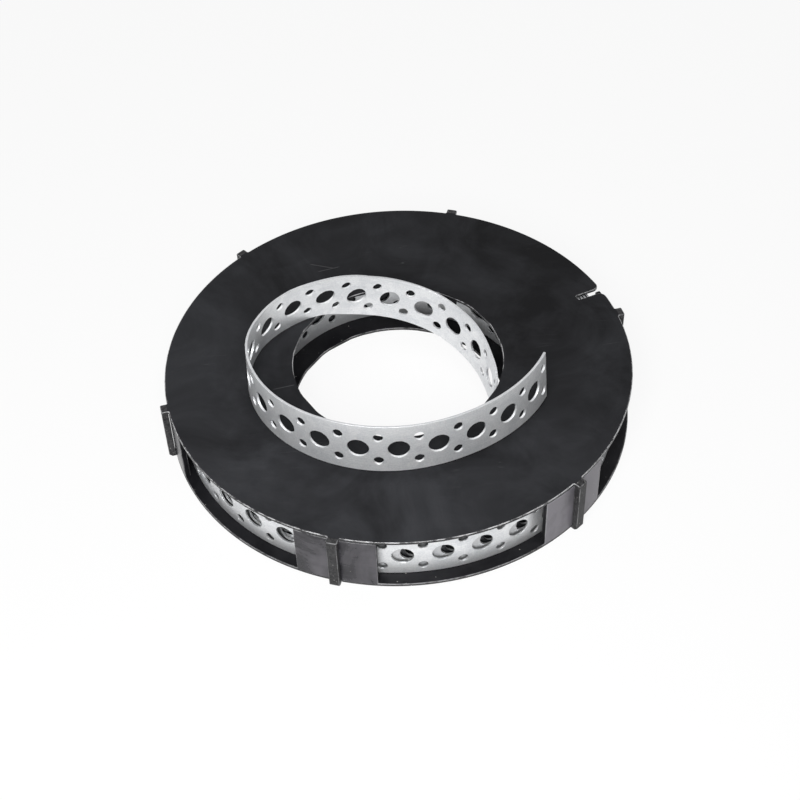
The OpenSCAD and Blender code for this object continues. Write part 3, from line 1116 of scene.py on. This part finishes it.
def panel_at(at):
    """One curved wall panel with rounded edges."""
    bm = bmesh.new()
    columns = []
    for turn in np.radians(np.linspace(at - panel_half, at + panel_half, panel_steps + 1)):
        c, s = math.cos(turn), math.sin(turn)
        corners = [(case_r - panel_thick, panel_low), (case_r - rim_shy, panel_low),
                   (case_r - rim_shy, panel_high), (case_r - panel_thick, panel_high)]
        columns.append([bm.verts.new((r * c * MM, r * s * MM, z * MM)) for r, z in corners])
    for left, right in zip(columns[:-1], columns[1:]):
        for i in range(len(left)):
            j = (i + 1) % len(left)
            bm.faces.new((left[i], left[j], right[j], right[i]))
    bm.faces.new(columns[0][::-1])
    bm.faces.new(columns[-1])
    bmesh.ops.recalc_face_normals(bm, faces=bm.faces)
    beveled(bm, panel_bevel)
    return bm


def pocket_outline():
    """The rim's way round a barb's pocket, with the pocket pointing along X."""
    half = leg_width / 2 + leg_gap
    back = case_r - barb_reach - leg_gap
    corner = (back + pocket_corner, -half + pocket_corner)
    points = [(reach_at(case_r, half), -half)]
    return mirrored(points + arc_points(corner, pocket_corner, -90, -180, corner_points))


base_outline = rim_outline([(a, pocket_outline()) for a in leg_angles])
base_ring = ring_of((0, 0), base_hole_r, hole_points)
base_mesh = raised_plate(base_outline, base_ring, 0.0, disc_thick, "base_plate")
for finish in (floor_plastic, leg_plastic):
    base_mesh.materials.append(finish)
base = add_object("case_base_plate", base_mesh)

wall_mesh = round_the_case("wall_panels", panel_at)
for finish in (floor_plastic, panel_plastic):
    wall_mesh.materials.append(finish)
for face in wall_mesh.polygons:
    outward = Vector((face.center.x, face.center.y, 0)).normalized()
    face.material_index = int(face.normal.dot(outward) > facing_out)
walls = add_object("case_base_wall_panels", wall_mesh)
walls.modifiers.new("flat faces stay flat", "WEIGHTED_NORMAL").keep_sharp = True
for piece in (base, walls):
    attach(piece, "root")
    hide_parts("case_base")
print("base plate:", len(base_mesh.polygons), "faces; wall panels:", len(wall_mesh.polygons), "faces")

# %% [markdown]
# ## Floor, light and world
# The photograph stands the object on pure white. The floor is a pale diffuse sheet that
# keeps the shadow, and for camera, glossy and see-through rays most of it glows at a
# strength of one, which is white. The world does the same. Three soft lamps light the
# object at a plain level: a key beside the camera, a wide one overhead and a weak one on
# the left.


# %% Floor and world
def shown_rays(tree):
    """1 for camera, glossy and transmission rays, and 0 for the rays that carry light."""
    path = add_node(tree, "LightPath").outputs
    seen = add_math(tree, "MAXIMUM", path["Is Camera Ray"], path["Is Glossy Ray"])
    return add_math(tree, "MAXIMUM", seen, path["Is Transmission Ray"])


floor_half = 3.0
floor_low = -0.0002
floor_glow = 0.9
ambient = 0.15
floor_mesh = bpy.data.meshes.new("floor")
floor_corners = [(x * floor_half, y * floor_half, 0) for x, y in ((-1, -1), (1, -1), (1, 1), (-1, 1))]
floor_mesh.from_pydata(floor_corners, [], [(0, 1, 2, 3)])
floor = add_object("floor", floor_mesh)
floor.location.z = floor_low
floor_white, tree, surface = new_material("pale floor")
surface["Base Color"].default_value = (0.86, 0.86, 0.86, 1)
surface["Roughness"].default_value = 0.9
surface["Specular IOR Level"].default_value = 0.1
glow = add_node(tree, "Emission", {"Color": (1, 1, 1, 1), "Strength": 1.0})
share = times(tree, shown_rays(tree), floor_glow)
blend = tree.nodes.new("ShaderNodeMixShader")
tree.links.new(share, blend.inputs[0])
tree.links.new(tree.nodes["Principled BSDF"].outputs[0], blend.inputs[1])
tree.links.new(glow.outputs[0], blend.inputs[2])
tree.links.new(blend.outputs[0], tree.nodes["Material Output"].inputs[0])
floor_mesh.materials.append(floor_white)

world = bpy.data.worlds.new("studio")
bpy.context.scene.world = world
world.use_nodes = True
tree = world.node_tree
sky = tree.nodes["Background"].inputs
sky["Color"].default_value = (1, 1, 1, 1)
tree.links.new(add_range(tree, shown_rays(tree), 0, 1, ambient, 1.0), sky["Strength"])
bpy.context.scene.view_settings.view_transform = "Standard"
print("floor and world are white to the camera, ambient light", ambient)


# %% Soft lamps
def soft_lamp(name, place, size, power):
    """A square area lamp aimed at the lid."""
    lamp = add_object(name, bpy.data.lights.new(name, "AREA"))
    lamp.data.size = size
    lamp.data.energy = power
    lamp.location = place
    lamp.rotation_euler = (focus - Vector(place)).to_track_quat("-Z", "Y").to_euler()


soft_lamp("key by the camera", (-0.06, -0.38, 0.38), 0.25, 3.0)
soft_lamp("overhead", (0.1, 0.1, 1.1), 0.9, 1.0)
soft_lamp("left", (-1.1, -0.3, 0.5), 0.6, 0.6)
